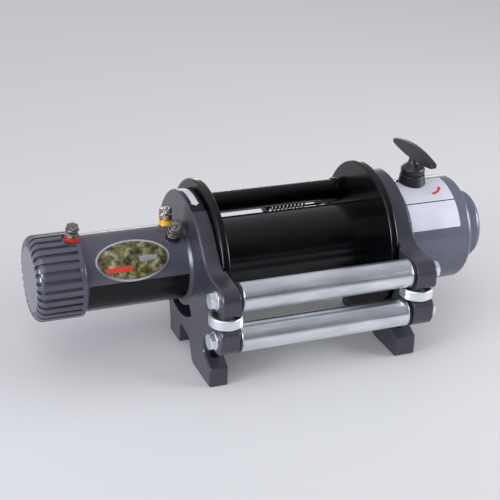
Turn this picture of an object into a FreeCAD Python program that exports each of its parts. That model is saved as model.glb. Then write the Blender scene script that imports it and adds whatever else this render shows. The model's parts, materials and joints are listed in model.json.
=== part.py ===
import FreeCAD, Part
import math
import os
from FreeCAD import Vector

# Electric drum winch with a built-in roller fairlead and feet for a flat deck.
# X runs along the drum with the motor at -X, -Y is where the rope leaves, +Z is up.
# Everything is drawn about the drum axis and moved at the end, so that the origin
# is in the middle of the foot bolts on the mounting plane.

# Mounting feet
AXIS_HEIGHT = 138.0          # drum axis above the mounting plane
BOLT_INSET = 12.0            # foot bolts outside the inner faces of the castings
BOLT_SPACING_Y = 138.0
FRONT_BOLT_Y = -112.0        # front bolts, measured from the drum axis
BOLT_HOLE_R = 6.5
FOOT_FRONT_Y = -135.0
FOOT_BACK_Y = -60.0
FOOT_NOSE_H = 30.0
FOOT_EDGE_R = 3.0
FOOT_HEEL_R = 14.0
REAR_FOOT_LENGTH = 44.0
REAR_FOOT_T = 23.0
REAR_FOOT_FRONT_H = 24.0     # where its faces start to widen to the ring above
REAR_FOOT_BACK_H = 18.0
REAR_FOOT_TOE = 6.0
REAR_FOOT_HEEL = 14.0
ARCH_FRONT_Y = -44.0
ARCH_SINK = 3.5              # the arch ends this far inside the disc
ARCH_SLOPE = 6.0

# End castings
CASTING_R = 102.5
FLANGE_SINK = 4.0            # how deep a drum flange runs in its casting
RECESS_MARGIN = 3.5          # radial, around the flange
MOTOR_CASTING_T = 26.5
GEAR_CASTING_T = 31.5
REAR_WEB_T = 13.0
EAR_R = 14.0
EAR_TAPER = 4.0
WEB_ROUND = 12.0
WEB_FLARE_R = 20.0
WEB_TOP_Y = 62.0
WEB_TOP_Z = 72.0
WEB_BOTTOM_Z = -92.0
EDGE_BREAK = 1.8
CAST_ROUND = 8.0             # inside corners of the arms and feet
ARM_ROOT_GAP = 9.5           # corner of the arm in front of the disc
ARM_TIP_Y = -177.0
ARM_HALF_H = 19.0
FLARE_R = 42.0
SLOT_MOUTH_R = 9.0
SLOT_ROUND = 6.0
LEG_FRONT_Y = -105.0
SADDLE_Z = -94.0
WINDOW_INNER_R = 66.0
WINDOW_OUTER_R = 84.0
WINDOW_HALF_ANGLE = 40.0

# Drum
DRUM_WIDTH = 247.0           # between the flanges
BARREL_R = 54.0
BARREL_WALL = 9.0
FLANGE_R = 116.0
FLANGE_T = 12.0
FLANGE_EDGE_R = 3.0
JOURNAL_R = 27.0
BUSH_WALL = 4.0
ROPE_HOLE_R = 7.0
ROPE_HOLE_INSET = 21.0
PLUG_DEPTH = 18.0

# Roller fairlead
ROLLER_Y = -154.0
UPPER_ROLLER_Z = 9.75
LOWER_ROLLER_Z = -52.0
ROLLER_R = 20.4
ROLLER_WALL = 4.5
ROLLER_SHAFT_R = 8.0
ROLLER_PLUG = 14.0
BUSH_FLANGE_T = 4.0          # outer flange of the bush in each roller end
BUSH_GROOVE = 0.8
GUIDE_ROLLER_R = 24.0
GUIDE_ROLLER_H = 15.0
GUIDE_PIN_R = 7.0
GUIDE_PIN_LENGTH = 38.0
GUIDE_INSET = 13.0           # guide rollers outside the inner faces of the castings
GUIDE_Z = -20.0
GUIDE_DISH = 5.0
GUIDE_RIM = 4.0
GUIDE_SLOPE = 3.0
GUIDE_WASHER_R = 11.0
SLOT_GAP = 2.0
HEX_SIZE = 21.0              # across flats
HEX_H = 9.0
WASHER_R = 13.0
WASHER_T = 2.5

# Rear shafts, both at one radius just outside the drum flanges
REAR_SHAFT_RADIUS = 126.5
REAR_SHAFT_R = 7.0
PIVOT_ANGLE = 6.8            # degrees above the horizontal
TIE_ANGLE = -34.0

# Rope tensioner
PRESS_ROLLER_Y = 70.0
PRESS_ROLLER_Z = 52.0
PRESS_ROLLER_R = 15.7
PRESS_ROLLER_WALL = 3.0
ARM_SIDE_GAP = 3.0           # axle head to drum flange
PRESS_AXLE_R = 6.0
ARM_T = 5.0
ARM_PIVOT_R = 13.0
ARM_TIP_R = 17.5
ARM_GAP = 1.0
AXLE_HEAD_H = 3.5
AXLE_HEAD_RIM = 3.0
SPRING_START_X = 28.0
SPRING_LENGTH = 58.0
SPRING_R = 11.5
SPRING_WIRE_R = 1.7
SPRING_TURNS = 9
COLLAR_T = 7.0

# Motor
MOTOR_R = 55.0
MOTOR_WALL = 5.0
MOTOR_LENGTH = 160.0
MOTOR_BOSS_H = 4.5
MOTOR_BOSS_W = 5.0
MOTOR_BOSS_LIP = 1.0
CAP_R = 61.0
CAP_LENGTH = 67.5
CAP_OVERLAP = 7.5
CAP_END_WALL = 11.0
CAP_CORNER_R = 11.0
CAP_HOLLOW_R = 8.0
CAP_RIM = 6.0
FIN_COUNT = 30
FIN_GROOVE = 5.2
FIN_DEPTH = 5.0
FIN_INNER_R = 46.0
BEARING_BOSS_R = 16.0
BEARING_BOSS_H = 18.0
SHAFT_FLOOR = 2.0
ARMATURE_R = 38.0
BRUSH_SPACE = 28.0           # motor tube beyond the commutator
ARMATURE_SLOTS = 16
ARMATURE_SLOT_W = 4.0
ARMATURE_SLOT_D = 9.0
ARMATURE_GAP = 8.0           # to the end plate
COMMUTATOR_R = 19.0
COMMUTATOR_LENGTH = 26.0
COMMUTATOR_GAP = 4.0
BRUSH_LENGTH = 14.0
BRUSH_W = 10.0
BRUSH_PLATE_T = 5.0
BRUSH_PLATE_GAP = 3.0
BRUSH_MARGIN = 8.0           # brush holders to the motor tube
DRIVE_SHAFT_R = 6.5
SHAFT_CLEAR = 1.0
END_PLATE_T = 10.0
POLE_COUNT = 4
POLE_GAP = 1.0
POLE_SPACE = 22.0
POLE_YOKE = 4.0
TERMINAL_R = 4.0
TERMINAL_H = 25.0
STUD_ROOT = 1.5
LUG_WASHER_R = 8.8
LUG_WASHER_T = 1.6
STUD_NUT_R = 8.0
STUD_NUT_H = 5.0
LUG_SPACE = 3.5              # bare thread between the two nuts
PAD_MARGIN = 1.0
PAD_H = 1.0
INSULATOR_R = 10.5
INSULATOR_H = 7.0
CAP_POCKET_R = 14.5
CAP_POCKET_DEPTH = 4.0
RED_INSET = 8.5              # red terminal from the mouth of the cap
RED_TILT = 9.0
YELLOW_INSET = 19.5          # the others from the casting
YELLOW_TILT = -8.0
BLACK_INSET = 20.5
BLACK_TILT = 27.0

# Gearbox, three planetary stages with the same teeth
HOUSING_WALL = 7.5
HOUSING_LENGTH = 115.5
HOUSING_ROUND = 7.0
HOUSING_END_WALL = 16.0
END_CAP_R = 52.5
END_CAP_H = 33.0
END_CAP_ROUND = 10.0
END_CAP_WALL = 8.0
SPIGOT_WALL = 6.0
SPIGOT_ROUND = 4.0
END_BEARING_WALL = 7.0
END_BEARING_H = 20.0
GEAR_MODULE = 2.5
SUN_TEETH = 10
PLANET_TEETH = 20
PRESSURE_ANGLE = 25.0
ADDENDUM = 0.85              # in modules
DEDENDUM = 1.1
TOOTH_BACKLASH = 0.35
PLANET_COUNT = 3
STAGE_COUNT = 3
GEAR_WIDTH = 20.0
CARRIER_T = 7.0
PLANET_PIN_R = 6.0
CARRIER_EDGE = 4.5           # around the planet pins
OUTPUT_HUB_R = 20.0
RING_RIM = 7.0
LOCK_NOTCHES = 12
LOCK_DEPTH = 3.2

# Clutch
CLUTCH_R = 18.6
CLUTCH_FOOT_R = 21.5
CLUTCH_H = 14.0              # above the crown of the gearbox
SPOT_FACE_DEPTH = 4.3
SPOT_FACE_MARGIN = 2.0
PLUNGER_R = 7.0
PLUNGER_SINK = 2.0           # top of the plunger below the collar's edge
COLLAR_R = 18.2
COLLAR_H = 9.2
COLLAR_ROUND = 4.0
COLLAR_CONE_H = 9.0
NECK_R = 7.5
NECK_H = 4.5
NECK_FLARE_R = 7.0
NECK_BLEND = 5.0             # the neck fades into the grip over this height
GRIP_LENGTH = 121.0
GRIP_CROWN = 11.8            # above and below the line between the tips
GRIP_BELLY = 9.5
GRIP_END_H = 9.0
GRIP_T = 10.5
GRIP_EDGE = 2.2

# Clearances
RUN_GAP = 1.5                # between turning and fixed flat faces
FIT = 0.05                   # radial, shaft in bore
SLIP = 0.3                   # radial, loose cover or curved faces that only pass

SMALL_ROUND = 1.5            # turned and machined corners
PAST = 1.0                   # how far a cutter runs past a face

X = Vector(1, 0, 0)
Y = Vector(0, 1, 0)
Z = Vector(0, 0, 1)
ORIGIN = Vector(0, 0, 0)

os.makedirs("parts", exist_ok=True)

AXIS_Y = -(FRONT_BOLT_Y + BOLT_SPACING_Y / 2)
BASE_Z = -AXIS_HEIGHT
FLANGE_X = DRUM_WIDTH / 2 + FLANGE_T
CASTING_GAP = 2 * (FLANGE_X + RUN_GAP - FLANGE_SINK)
BOLT_SPACING_X = CASTING_GAP + 2 * BOLT_INSET
INNER_X = CASTING_GAP / 2
MOTOR_FACE_X = -INNER_X - MOTOR_CASTING_T
GEAR_FACE_X = INNER_X + GEAR_CASTING_T
GUIDE_ROLLER_X = INNER_X + GUIDE_INSET
PRESS_ROLLER_LENGTH = DRUM_WIDTH - 2 * (ARM_SIDE_GAP + AXLE_HEAD_H + ARM_T + ARM_GAP)
CAP_START = MOTOR_LENGTH - CAP_OVERLAP
ARMATURE_LENGTH = (MOTOR_LENGTH - END_PLATE_T - ARMATURE_GAP - COMMUTATOR_GAP
                   - COMMUTATOR_LENGTH - BRUSH_SPACE)
CAP_END_X = MOTOR_FACE_X - CAP_START - CAP_LENGTH
MOTOR_END_X = MOTOR_FACE_X - MOTOR_LENGTH
REAR_BOLT_Y = FRONT_BOLT_Y + BOLT_SPACING_Y
BUSH_R = JOURNAL_R + BUSH_WALL
RING_TEETH = SUN_TEETH + 2 * PLANET_TEETH
RING_R = GEAR_MODULE * (RING_TEETH / 2 + DEDENDUM) + RING_RIM
HOUSING_R = RING_R + FIT + HOUSING_WALL
HOUSING_END_X = GEAR_FACE_X + HOUSING_LENGTH
PLANET_CENTRE = GEAR_MODULE * (SUN_TEETH + PLANET_TEETH) / 2
STAGE_PITCH = CARRIER_T + GEAR_WIDTH + 2 * RUN_GAP
CLUTCH_X = GEAR_FACE_X + RUN_GAP + STAGE_PITCH + (STAGE_PITCH - RUN_GAP) / 2
CLUTCH_BASE = HOUSING_R - SPOT_FACE_DEPTH
CLUTCH_TOP = HOUSING_R + CLUTCH_H
SHAFT_END = HOUSING_END_X + END_CAP_H - END_CAP_WALL - RUN_GAP
# Name, x, lean to the front in degrees, height of the seat above the motor axis
TERMINALS = [
    ("red", MOTOR_FACE_X - CAP_START - RED_INSET, RED_TILT, CAP_R - CAP_POCKET_DEPTH),
    ("yellow", MOTOR_FACE_X - YELLOW_INSET, YELLOW_TILT, MOTOR_R + PAD_H),
    ("black", MOTOR_FACE_X - BLACK_INSET, BLACK_TILT, MOTOR_R + PAD_H),
]
SLOT_TOP = GUIDE_Z + GUIDE_ROLLER_H / 2 + SLOT_GAP
SLOT_BOTTOM = GUIDE_Z - GUIDE_ROLLER_H / 2 - SLOT_GAP
ARM_BASE_Z = LOWER_ROLLER_Z - ARM_HALF_H
ARM_ROOT_Y = -CASTING_R - ARM_ROOT_GAP
ARCH_RISE = AXIS_HEIGHT - CASTING_R + ARCH_SINK


def keep(name, *solids):
    # Moves a finished piece from the drum axis to the mounting frame and writes it.
    shape = solids[0] if len(solids) == 1 else Part.makeCompound(list(solids))
    shape = shape.copy()
    shape.translate(Vector(0, AXIS_Y, AXIS_HEIGHT))
    shape.exportStep("parts/" + name + ".step")


def rod(x0, x1, radius, y=0.0, z=0.0):
    return Part.makeCylinder(radius, x1 - x0, Vector(x0, y, z), X)


def tube(x0, x1, outer, inner, y=0.0, z=0.0):
    return rod(x0, x1, outer, y, z).cut(rod(x0 - PAST, x1 + PAST, inner, y, z))


def box(x0, x1, y0, y1, z0, z1):
    return Part.makeBox(x1 - x0, y1 - y0, z1 - z0, Vector(x0, y0, z0))


def turned(points, axis=X):
    # A solid of revolution about the drum axis, or about the Z axis through the origin.
    # The points are (along the axis, radius); a third value rounds that corner.
    place = (lambda a, r: Vector(a, 0, r)) if axis == X else (lambda a, r: Vector(r, 0, a))
    wire = rounded_wire([place(p[0], p[1]) for p in points], [p[2] if len(p) > 2 else 0 for p in points])
    return Part.Face(wire).revolve(ORIGIN, axis, 360)


def rounded_wire(points, radii):
    # A closed wire of straight runs whose corners are tangent arcs of the given radii.
    starts, ends, arcs = [], [], []
    count = len(points)
    for i, corner in enumerate(points):
        before = (points[i - 1] - corner).normalize()
        after = (points[(i + 1) % count] - corner).normalize()
        radius = radii[i]
        if radius <= 0:
            starts.append(corner)
            ends.append(corner)
            arcs.append(None)
            continue
        half = before.getAngle(after) / 2
        reach = radius / math.tan(half)
        middle = (before + after).normalize() * (radius / math.sin(half) - radius)
        starts.append(corner + before * reach)
        ends.append(corner + after * reach)
        arcs.append(corner + middle)
    edges = []
    for i in range(count):
        if arcs[i] is not None:
            edges.append(Part.Arc(starts[i], arcs[i], ends[i]).toShape())
        following = starts[(i + 1) % count]
        if ends[i].distanceToPoint(following) > 1e-6:
            edges.append(Part.makeLine(ends[i], following))
    return Part.Wire(edges)


def plate(outline, x0, x1):
    # A flat piece between two X planes. The outline is (y, z, corner radius) points.
    wire = rounded_wire([Vector(x0, y, z) for y, z, r in outline], [r for y, z, r in outline])
    return Part.Face(wire).extrude(Vector(x1 - x0, 0, 0))


def hexagon(x0, x1, across, y=0.0, z=0.0):
    reach = across / math.sqrt(3)
    points = [(y + reach * math.cos(a), z + reach * math.sin(a), 0)
              for a in (math.radians(60 * i + 30) for i in range(6))]
    return plate(points, x0, x1)


def hex_head(x0, x1, y, z):
    # A bolt head or nut with the round chamfer of a turned blank on its outer face.
    outer = max(abs(x0), abs(x1))
    low, high = min(x0, x1), max(x0, x1)
    reach = HEX_SIZE / math.sqrt(3)
    head = hexagon(low, high, HEX_SIZE, y, z)
    side = math.copysign(1, x1)
    blank_r = HEX_SIZE / 2
    start = Vector(side * (outer - high + low), y, z)
    slope = Part.makeCone(blank_r + 2 * (high - low), blank_r, high - low, start, X * side)
    return head.common(slope)


def on_rear_circle(angle):
    a = math.radians(angle)
    return REAR_SHAFT_RADIUS * math.cos(a), REAR_SHAFT_RADIUS * math.sin(a)


PIVOT = on_rear_circle(PIVOT_ANGLE)
TIE = on_rear_circle(TIE_ANGLE)


# ---- end castings ----

def front_outline():
    # Top arms with a slot for the guide roller between them, and the front leg with
    # its foot. Points are (y, z, corner radius), starting on the drum axis.
    arm_top = UPPER_ROLLER_Z + ARM_HALF_H
    slot_back = ROLLER_Y + GUIDE_ROLLER_R + SLOT_GAP
    # The line down to the arm leaves the disc at a tangent.
    reach = math.hypot(ARM_ROOT_Y, arm_top)
    shoulder = math.atan2(arm_top, ARM_ROOT_Y) - math.acos(CASTING_R / reach)
    return [
        (0, 0, 0),
        (CASTING_R * math.cos(shoulder), CASTING_R * math.sin(shoulder), 0),
        (ARM_ROOT_Y, arm_top, FLARE_R),
        (ARM_TIP_Y, arm_top, ARM_HALF_H),
        (ARM_TIP_Y, SLOT_TOP, SLOT_MOUTH_R),
        (slot_back, SLOT_TOP, SLOT_ROUND),
        (slot_back, SLOT_BOTTOM, SLOT_ROUND),
        (ARM_TIP_Y, SLOT_BOTTOM, SLOT_MOUTH_R),
        (ARM_TIP_Y, ARM_BASE_Z, ARM_HALF_H),
        (LEG_FRONT_Y, ARM_BASE_Z, CAST_ROUND),
        (LEG_FRONT_Y, SADDLE_Z, CAST_ROUND),
        (FOOT_FRONT_Y, BASE_Z + FOOT_NOSE_H, FOOT_EDGE_R),
        (FOOT_FRONT_Y, BASE_Z, FOOT_EDGE_R),
        (FOOT_BACK_Y, BASE_Z, FOOT_HEEL_R),
        (ARCH_FRONT_Y, BASE_Z + ARCH_RISE - ARCH_SLOPE, CAST_ROUND),
        (0, BASE_Z + ARCH_RISE, 0),
    ]


def rear_outline():
    # Thinner web behind the disc that carries the tensioner pivot and the tie rod.
    ear_y, ear_z = PIVOT
    tie_y, tie_z = TIE
    return [
        (0, 0, 0),
        (WEB_TOP_Y, WEB_TOP_Z, WEB_FLARE_R),
        (ear_y - EAR_TAPER, ear_z + EAR_R, WEB_ROUND),
        (ear_y + EAR_R, ear_z + EAR_R - EAR_TAPER, WEB_ROUND),
        (ear_y + EAR_R, ear_z - EAR_R, EAR_R),
        (tie_y + EAR_R, tie_z + EAR_R, EAR_R),
        (tie_y + EAR_R, tie_z - EAR_R, EAR_R),
        (tie_y - WEB_ROUND, tie_z - EAR_R - EAR_TAPER, WEB_ROUND),
        (0, WEB_BOTTOM_Z, 0),
    ]


def rear_foot_outline():
    # Ends in the middle of the ring below the window.
    ring = (WINDOW_OUTER_R + CASTING_R) / 2
    front = REAR_BOLT_Y - REAR_FOOT_LENGTH / 2
    back = REAR_BOLT_Y + REAR_FOOT_LENGTH / 2
    toe = front - REAR_FOOT_TOE
    heel = back + REAR_FOOT_HEEL
    return [
        (toe, -math.sqrt(ring ** 2 - toe ** 2), 0),
        (front, BASE_Z + REAR_FOOT_FRONT_H, CAST_ROUND),
        (front, BASE_Z, FOOT_EDGE_R),
        (back, BASE_Z, FOOT_EDGE_R),
        (back, BASE_Z + REAR_FOOT_BACK_H, CAST_ROUND),
        (heel, -math.sqrt(ring ** 2 - heel ** 2), 0),
    ]


def window_cutter(x0, x1):
    # Curved window under the motor or gearbox seat with square ends.
    ring = tube(x0, x1, WINDOW_OUTER_R, WINDOW_INNER_R)
    reach = WINDOW_OUTER_R / math.cos(math.radians(WINDOW_HALF_ANGLE))
    half = reach * math.tan(math.radians(WINDOW_HALF_ANGLE))
    wedge = plate([(0, 0, 0), (-half, -reach, 0), (half, -reach, 0)], x0, x1)
    return ring.common(wedge)


def slab(outline, face, far):
    # A plate between two X values given in either order.
    return plate(outline, min(face, far), max(face, far))


def casting(side, thickness, seat_r, seat_h):
    # side is -1 at the motor and +1 at the gearbox.
    inner = side * INNER_X
    outer = side * (INNER_X + thickness)
    body = slab(front_outline(), inner, outer)
    body = body.fuse([rod(min(inner, outer), max(inner, outer), CASTING_R),
                      slab(rear_outline(), inner, inner + side * REAR_WEB_T),
                      slab(rear_foot_outline(), inner, inner + side * REAR_FOOT_T)])
    if seat_h > 0:
        body = body.fuse(Part.makeCone(seat_r + MOTOR_BOSS_W, seat_r + MOTOR_BOSS_LIP, seat_h,
                                       Vector(outer, 0, 0), X * side))
    body = body.removeSplitter()
    low, high = -GEAR_FACE_X - thickness, GEAR_FACE_X + thickness
    cuts = [rod(-INNER_X - FLANGE_SINK, INNER_X + FLANGE_SINK, FLANGE_R + RECESS_MARGIN),
            rod(low, high, BUSH_R + FIT),
            window_cutter(low, high)]
    if seat_h > 0:
        far = outer + side * (seat_h + PAST)
        cuts.append(rod(min(outer, far), max(outer, far), seat_r + SLIP))
    for z in (UPPER_ROLLER_Z, LOWER_ROLLER_Z):
        cuts.append(rod(low, high, ROLLER_SHAFT_R + FIT, ROLLER_Y, z))
    for y, z in (PIVOT, TIE):
        cuts.append(rod(low, high, REAR_SHAFT_R + FIT, y, z))
    cuts.append(Part.makeCylinder(GUIDE_PIN_R + FIT, GUIDE_PIN_LENGTH,
                                  Vector(side * GUIDE_ROLLER_X, ROLLER_Y, GUIDE_Z - GUIDE_PIN_LENGTH / 2)))
    # The front bolt comes out between foot and arm, the rear one in the window.
    for y, top in ((FRONT_BOLT_Y, (SADDLE_Z + ARM_BASE_Z) / 2), (REAR_BOLT_Y, -WINDOW_INNER_R)):
        base = Vector(side * BOLT_SPACING_X / 2, y, BASE_Z - PAST)
        cuts.append(Part.makeCylinder(BOLT_HOLE_R, top - base.z, base))
    return soften(body.cut(cuts), outer)


def soften(body, face_x):
    # Breaks the edges of the flat outer face that lie outside the window.
    inside = (WINDOW_OUTER_R + CASTING_R) / 2
    edges = []
    for edge in body.Edges:
        points = edge.discretize(5)
        if all(abs(p.x - face_x) < 0.01 and math.hypot(p.y, p.z) > inside for p in points):
            edges.append(edge)
    return body.makeChamfer(EDGE_BREAK, edges)


def end_castings():
    keep("motor_end_casting", casting(-1, MOTOR_CASTING_T, MOTOR_R, MOTOR_BOSS_H))
    keep("gear_end_casting", casting(1, GEAR_CASTING_T, HOUSING_R, 0))


# ---- drum ----

def drum_flange(side):
    # Turned flange with a journal outwards and a plug that carries the barrel.
    inner = DRUM_WIDTH / 2
    tip = INNER_X + (MOTOR_CASTING_T if side < 0 else GEAR_CASTING_T) - RUN_GAP
    bore = DRIVE_SHAFT_R + SHAFT_CLEAR if side < 0 else OUTPUT_HUB_R + FIT
    plug = BARREL_R - BARREL_WALL - FIT
    profile = [
        (inner - PLUG_DEPTH, bore), (inner - PLUG_DEPTH, plug), (inner, plug),
        (inner, FLANGE_R, FLANGE_EDGE_R), (FLANGE_X, FLANGE_R, FLANGE_EDGE_R),
        (FLANGE_X, JOURNAL_R), (tip, JOURNAL_R), (tip, bore),
    ]
    flange = turned(profile)
    return flange if side > 0 else flange.mirror(ORIGIN, X)


def drum():
    half = DRUM_WIDTH / 2
    barrel = tube(-half, half, BARREL_R, BARREL_R - BARREL_WALL)
    anchor = Part.makeCylinder(ROPE_HOLE_R, BARREL_R + PAST, X * (ROPE_HOLE_INSET - half), -Z)
    keep("drum_barrel", barrel.cut(anchor))
    keep("drum_motor_flange", drum_flange(-1))
    keep("drum_gear_flange", drum_flange(1))
    start = INNER_X + FLANGE_SINK
    keep("gear_side_bush", tube(start, GEAR_FACE_X, BUSH_R, JOURNAL_R + FIT))
    keep("motor_side_bush", tube(MOTOR_FACE_X, -start, BUSH_R, JOURNAL_R + FIT))


# ---- roller fairlead ----

def roller_shaft(z):
    # Through shaft that ties the castings together, with a washer and a hex at each end.
    pieces = [rod(MOTOR_FACE_X, GEAR_FACE_X, ROLLER_SHAFT_R, ROLLER_Y, z)]
    for side, face in ((-1, MOTOR_FACE_X), (1, GEAR_FACE_X)):
        washer_end = face + side * WASHER_T
        head_end = washer_end + side * HEX_H
        pieces.append(rod(min(face, washer_end), max(face, washer_end), WASHER_R, ROLLER_Y, z))
        pieces.append(hex_head(washer_end, head_end, ROLLER_Y, z))
    return pieces[0].fuse(pieces[1:])


def fairlead():
    end = INNER_X - RUN_GAP
    for name, z in (("upper", UPPER_ROLLER_Z), ("lower", LOWER_ROLLER_Z)):
        shell = tube(-end, end, ROLLER_R, ROLLER_R - ROLLER_WALL, ROLLER_Y, z)
        plugs = [tube(x, x + ROLLER_PLUG, ROLLER_R - ROLLER_WALL, ROLLER_SHAFT_R + FIT, ROLLER_Y, z)
                 for x in (-end, end - ROLLER_PLUG)]
        flange = end - BUSH_FLANGE_T
        grooves = [tube(x, x + BUSH_GROOVE, ROLLER_R + PAST, ROLLER_R - BUSH_GROOVE, ROLLER_Y, z)
                   for x in (-flange, flange - BUSH_GROOVE)]
        keep(name + "_roller", shell.fuse(plugs).cut(grooves))
        keep(name + "_roller_shaft", roller_shaft(z))
    for name, side in (("motor_side", -1), ("gear_side", 1)):
        centre = Vector(side * GUIDE_ROLLER_X, ROLLER_Y, GUIDE_Z)
        half = GUIDE_ROLLER_H / 2
        ring = turned([
            (-half, GUIDE_PIN_R + FIT),
            (-half, GUIDE_ROLLER_R, SMALL_ROUND), (half, GUIDE_ROLLER_R, SMALL_ROUND),
            (half, GUIDE_ROLLER_R - GUIDE_RIM), (half - GUIDE_DISH, GUIDE_ROLLER_R - GUIDE_RIM - GUIDE_SLOPE),
            (half - GUIDE_DISH, GUIDE_WASHER_R), (half, GUIDE_WASHER_R), (half, GUIDE_PIN_R + FIT),
        ], Z)
        ring.translate(centre)
        keep(name + "_guide_roller", ring)
        pin = Part.makeCylinder(GUIDE_PIN_R, GUIDE_PIN_LENGTH - RUN_GAP, centre - Z * (GUIDE_PIN_LENGTH / 2))
        spacers = [Part.makeCylinder(GUIDE_WASHER_R, SLOT_GAP - SLIP, Vector(centre.x, centre.y, z))
                   for z in (SLOT_BOTTOM, SLOT_TOP - SLOT_GAP + SLIP)]
        keep(name + "_guide_pin", pin.fuse(spacers))


# ---- rear shafts and rope tensioner ----

def link(p, p_r, q, q_r, x0, x1):
    # A flat arm: the outline of two discs joined by their outer tangents.
    dy, dz = q[0] - p[0], q[1] - p[1]
    span = math.hypot(dy, dz)
    along = math.atan2(dz, dy)
    lean = math.acos((p_r - q_r) / span)

    def spot(centre, radius, angle):
        return Vector(x0, centre[0] + radius * math.cos(angle), centre[1] + radius * math.sin(angle))

    upper = [spot(p, p_r, along + lean), spot(q, q_r, along + lean)]
    lower = [spot(p, p_r, along - lean), spot(q, q_r, along - lean)]
    edges = [
        Part.makeLine(upper[0], upper[1]),
        Part.Arc(upper[1], spot(q, q_r, along), lower[1]).toShape(),
        Part.makeLine(lower[1], lower[0]),
        Part.Arc(lower[0], spot(p, p_r, along + math.pi), upper[0]).toShape(),
    ]
    return Part.Face(Part.Wire(edges)).extrude(Vector(x1 - x0, 0, 0))


def rear_shafts():
    end = INNER_X + REAR_WEB_T
    tie = [rod(-end, end, REAR_SHAFT_R, *TIE)]
    for side in (-1, 1):
        face = side * end
        tie.append(hex_head(face, face + side * HEX_H, *TIE))
    keep("rear_tie_rod", tie[0].fuse(tie[1:]))
    collar_end = SPRING_START_X - SLIP
    collar = rod(collar_end - COLLAR_T, collar_end, SPRING_R + SPRING_WIRE_R, *PIVOT)
    keep("tensioner_shaft", rod(-end, end, REAR_SHAFT_R, *PIVOT).fuse(collar))


def tensioner():
    press = (PRESS_ROLLER_Y, PRESS_ROLLER_Z)
    half = PRESS_ROLLER_LENGTH / 2
    shell = tube(-half, half, PRESS_ROLLER_R, PRESS_ROLLER_R - PRESS_ROLLER_WALL, *press)
    plugs = [tube(x, x + ROLLER_PLUG, PRESS_ROLLER_R - PRESS_ROLLER_WALL, PRESS_AXLE_R + FIT, *press)
             for x in (-half, half - ROLLER_PLUG)]
    keep("press_roller", shell.fuse(plugs))
    start = half + ARM_GAP
    for name, side in (("motor_side", -1), ("gear_side", 1)):
        low, high = sorted((side * start, side * (start + ARM_T)))
        arm = link(PIVOT, ARM_PIVOT_R, press, ARM_TIP_R, low, high)
        arm = arm.cut([rod(low - PAST, high + PAST, REAR_SHAFT_R + FIT, *PIVOT),
                       rod(low - PAST, high + PAST, PRESS_AXLE_R + FIT, *press)])
        keep(name + "_tensioner_arm", arm)
    outer = start + ARM_T
    axle = rod(-outer, outer, PRESS_AXLE_R, *press)
    heads = [rod(x, x + AXLE_HEAD_H, PRESS_AXLE_R + AXLE_HEAD_RIM, *press)
             for x in (-outer - AXLE_HEAD_H, outer)]
    keep("press_roller_axle", axle.fuse(heads))


def tensioner_spring():
    # Torsion spring on the rear shaft: a round wire swept along a helix, with a straight
    # leg that runs out to the arm beside the gearbox.
    pitch = SPRING_LENGTH / SPRING_TURNS
    helix = Part.makeHelix(pitch, SPRING_LENGTH, SPRING_R)
    start = Vector(SPRING_R, 0, 0)
    wire = Part.Wire(Part.makeCircle(SPRING_WIRE_R, start, Y))
    coil = Part.Wire(helix).makePipeShell([wire], True, True)
    coil.rotate(ORIGIN, Y, 90)
    coil.translate(Vector(SPRING_START_X + SPRING_WIRE_R, *PIVOT))
    leg_start = SPRING_START_X + SPRING_WIRE_R + SPRING_LENGTH
    leg_end = PRESS_ROLLER_LENGTH / 2 + ARM_GAP - SLIP
    leg = rod(leg_start - SPRING_WIRE_R, leg_end, SPRING_WIRE_R, PIVOT[0], PIVOT[1] - SPRING_R)
    keep("tensioner_spring", coil.fuse(leg))


# ---- motor ----

def upright(shape, x, tilt, seat):
    # Stands a shape drawn along +Z from z = 0 at this height above the motor axis,
    # leaning to the front by the tilt in degrees.
    placed = shape.copy()
    placed.translate(Vector(x, 0, seat))
    placed.rotate(ORIGIN, X, tilt)
    return placed


def stud_nut(z):
    corners = [Vector(STUD_NUT_R * math.cos(a), STUD_NUT_R * math.sin(a), z)
               for a in (math.radians(60 * i) for i in range(7))]
    return Part.Face(Part.makePolygon(corners)).extrude(Z * STUD_NUT_H)


def stud_hole(x, tilt, seat):
    # Reaches from above the seat into the hollow of the motor.
    reach = CAP_R - ARMATURE_R
    return upright(Part.makeCylinder(TERMINAL_R + FIT, 2 * reach, -Z * reach), x, tilt, seat)


def terminals():
    # An insulating washer on the seat, the stud through it, then a washer and a nut that
    # clamp it and a second pair for the cable lug.
    for name, x, tilt, seat in TERMINALS:
        insulator = Part.makeCylinder(INSULATOR_R, INSULATOR_H).cut(
            Part.makeCylinder(TERMINAL_R + FIT, INSULATOR_H + 2 * PAST, -Z * PAST))
        keep(name + "_terminal_insulator", upright(insulator, x, tilt, seat))
        stud = Part.makeCylinder(TERMINAL_R, TERMINAL_H + STUD_ROOT, -Z * STUD_ROOT)
        stack = []
        for i in range(2):
            z = INSULATOR_H + i * (LUG_WASHER_T + STUD_NUT_H + LUG_SPACE)
            stack.append(Part.makeCylinder(LUG_WASHER_R, LUG_WASHER_T, Z * z))
            stack.append(stud_nut(z + LUG_WASHER_T))
        keep(name + "_terminal_stud", upright(stud.fuse(stack), x, tilt, seat))


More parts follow.
